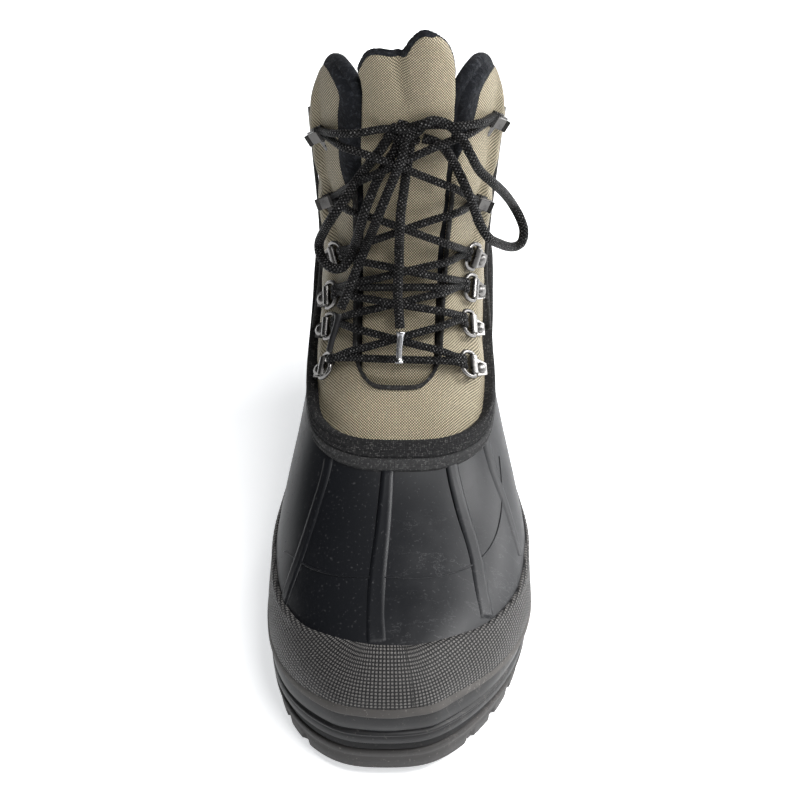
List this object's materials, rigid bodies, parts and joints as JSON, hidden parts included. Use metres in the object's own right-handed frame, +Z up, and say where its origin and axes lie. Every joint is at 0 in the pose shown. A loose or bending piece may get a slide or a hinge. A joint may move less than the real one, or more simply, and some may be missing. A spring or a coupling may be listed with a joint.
{
  "type": "hunting boot",
  "caption": "Left hunting boot with a moulded rubber lower, ribbed toe, padded nylon shaft, fleece collar, D-ring lacing and a lugged sole.",
  "frame": {"origin": "middle of the boot's box, without the free lace, on the ground", "axes": "+Z up, toe to -Y, outer side of the left foot to +X"},
  "size_m": [0.1194, 0.3047, 0.275],
  "materials": {
    "tread_rubber": "matte, dusty",
    "midsole_rubber": "matte with fine ribs",
    "shell_rubber": "satin, scuffed and dusty",
    "woven_band": "coarse woven band",
    "nylon": "coarse plain weave nylon",
    "webbing": "ribbed webbing",
    "fleece": "short pile fleece",
    "insole_foam": "felted",
    "gunmetal": "polished gunmetal plating",
    "lace": "round braided polyester",
    "lace_tip": "glossy"
  },
  "bodies": {
    "root": {"shell": "shell_rubber", "rim_binding": "woven_band", "upper": "nylon", "throat_binding": "webbing", "side_piping_lateral": "webbing", "side_piping_medial": "webbing", "collar_lining": "fleece", "tongue": "nylon", "outsole": "tread_rubber", "midsole": "midsole_rubber", "insole": "insole_foam", "clip_lateral_1": "gunmetal", "d_ring_lateral_1": "gunmetal", "clip_lateral_2": "gunmetal", "d_ring_lateral_2": "gunmetal", "clip_lateral_3": "gunmetal", "d_ring_lateral_3": "gunmetal", "clip_lateral_4": "gunmetal", "d_ring_lateral_4": "gunmetal", "hook_lateral_5": "gunmetal", "hook_lateral_6": "gunmetal", "clip_medial_1": "gunmetal", "d_ring_medial_1": "gunmetal", "clip_medial_2": "gunmetal", "d_ring_medial_2": "gunmetal", "clip_medial_3": "gunmetal", "d_ring_medial_3": "gunmetal", "clip_medial_4": "gunmetal", "d_ring_medial_4": "gunmetal", "hook_medial_5": "gunmetal", "hook_medial_6": "gunmetal", "lace_crossings": "lace", "lace_loop_lateral": "lace", "lace_loop_medial": "lace", "lace_end_a": "lace", "lace_end_b": "lace", "lace_knot": "lace", "lace_tip_a": "lace_tip", "lace_tip_b": "lace_tip"}
  },
  "joints": []
}
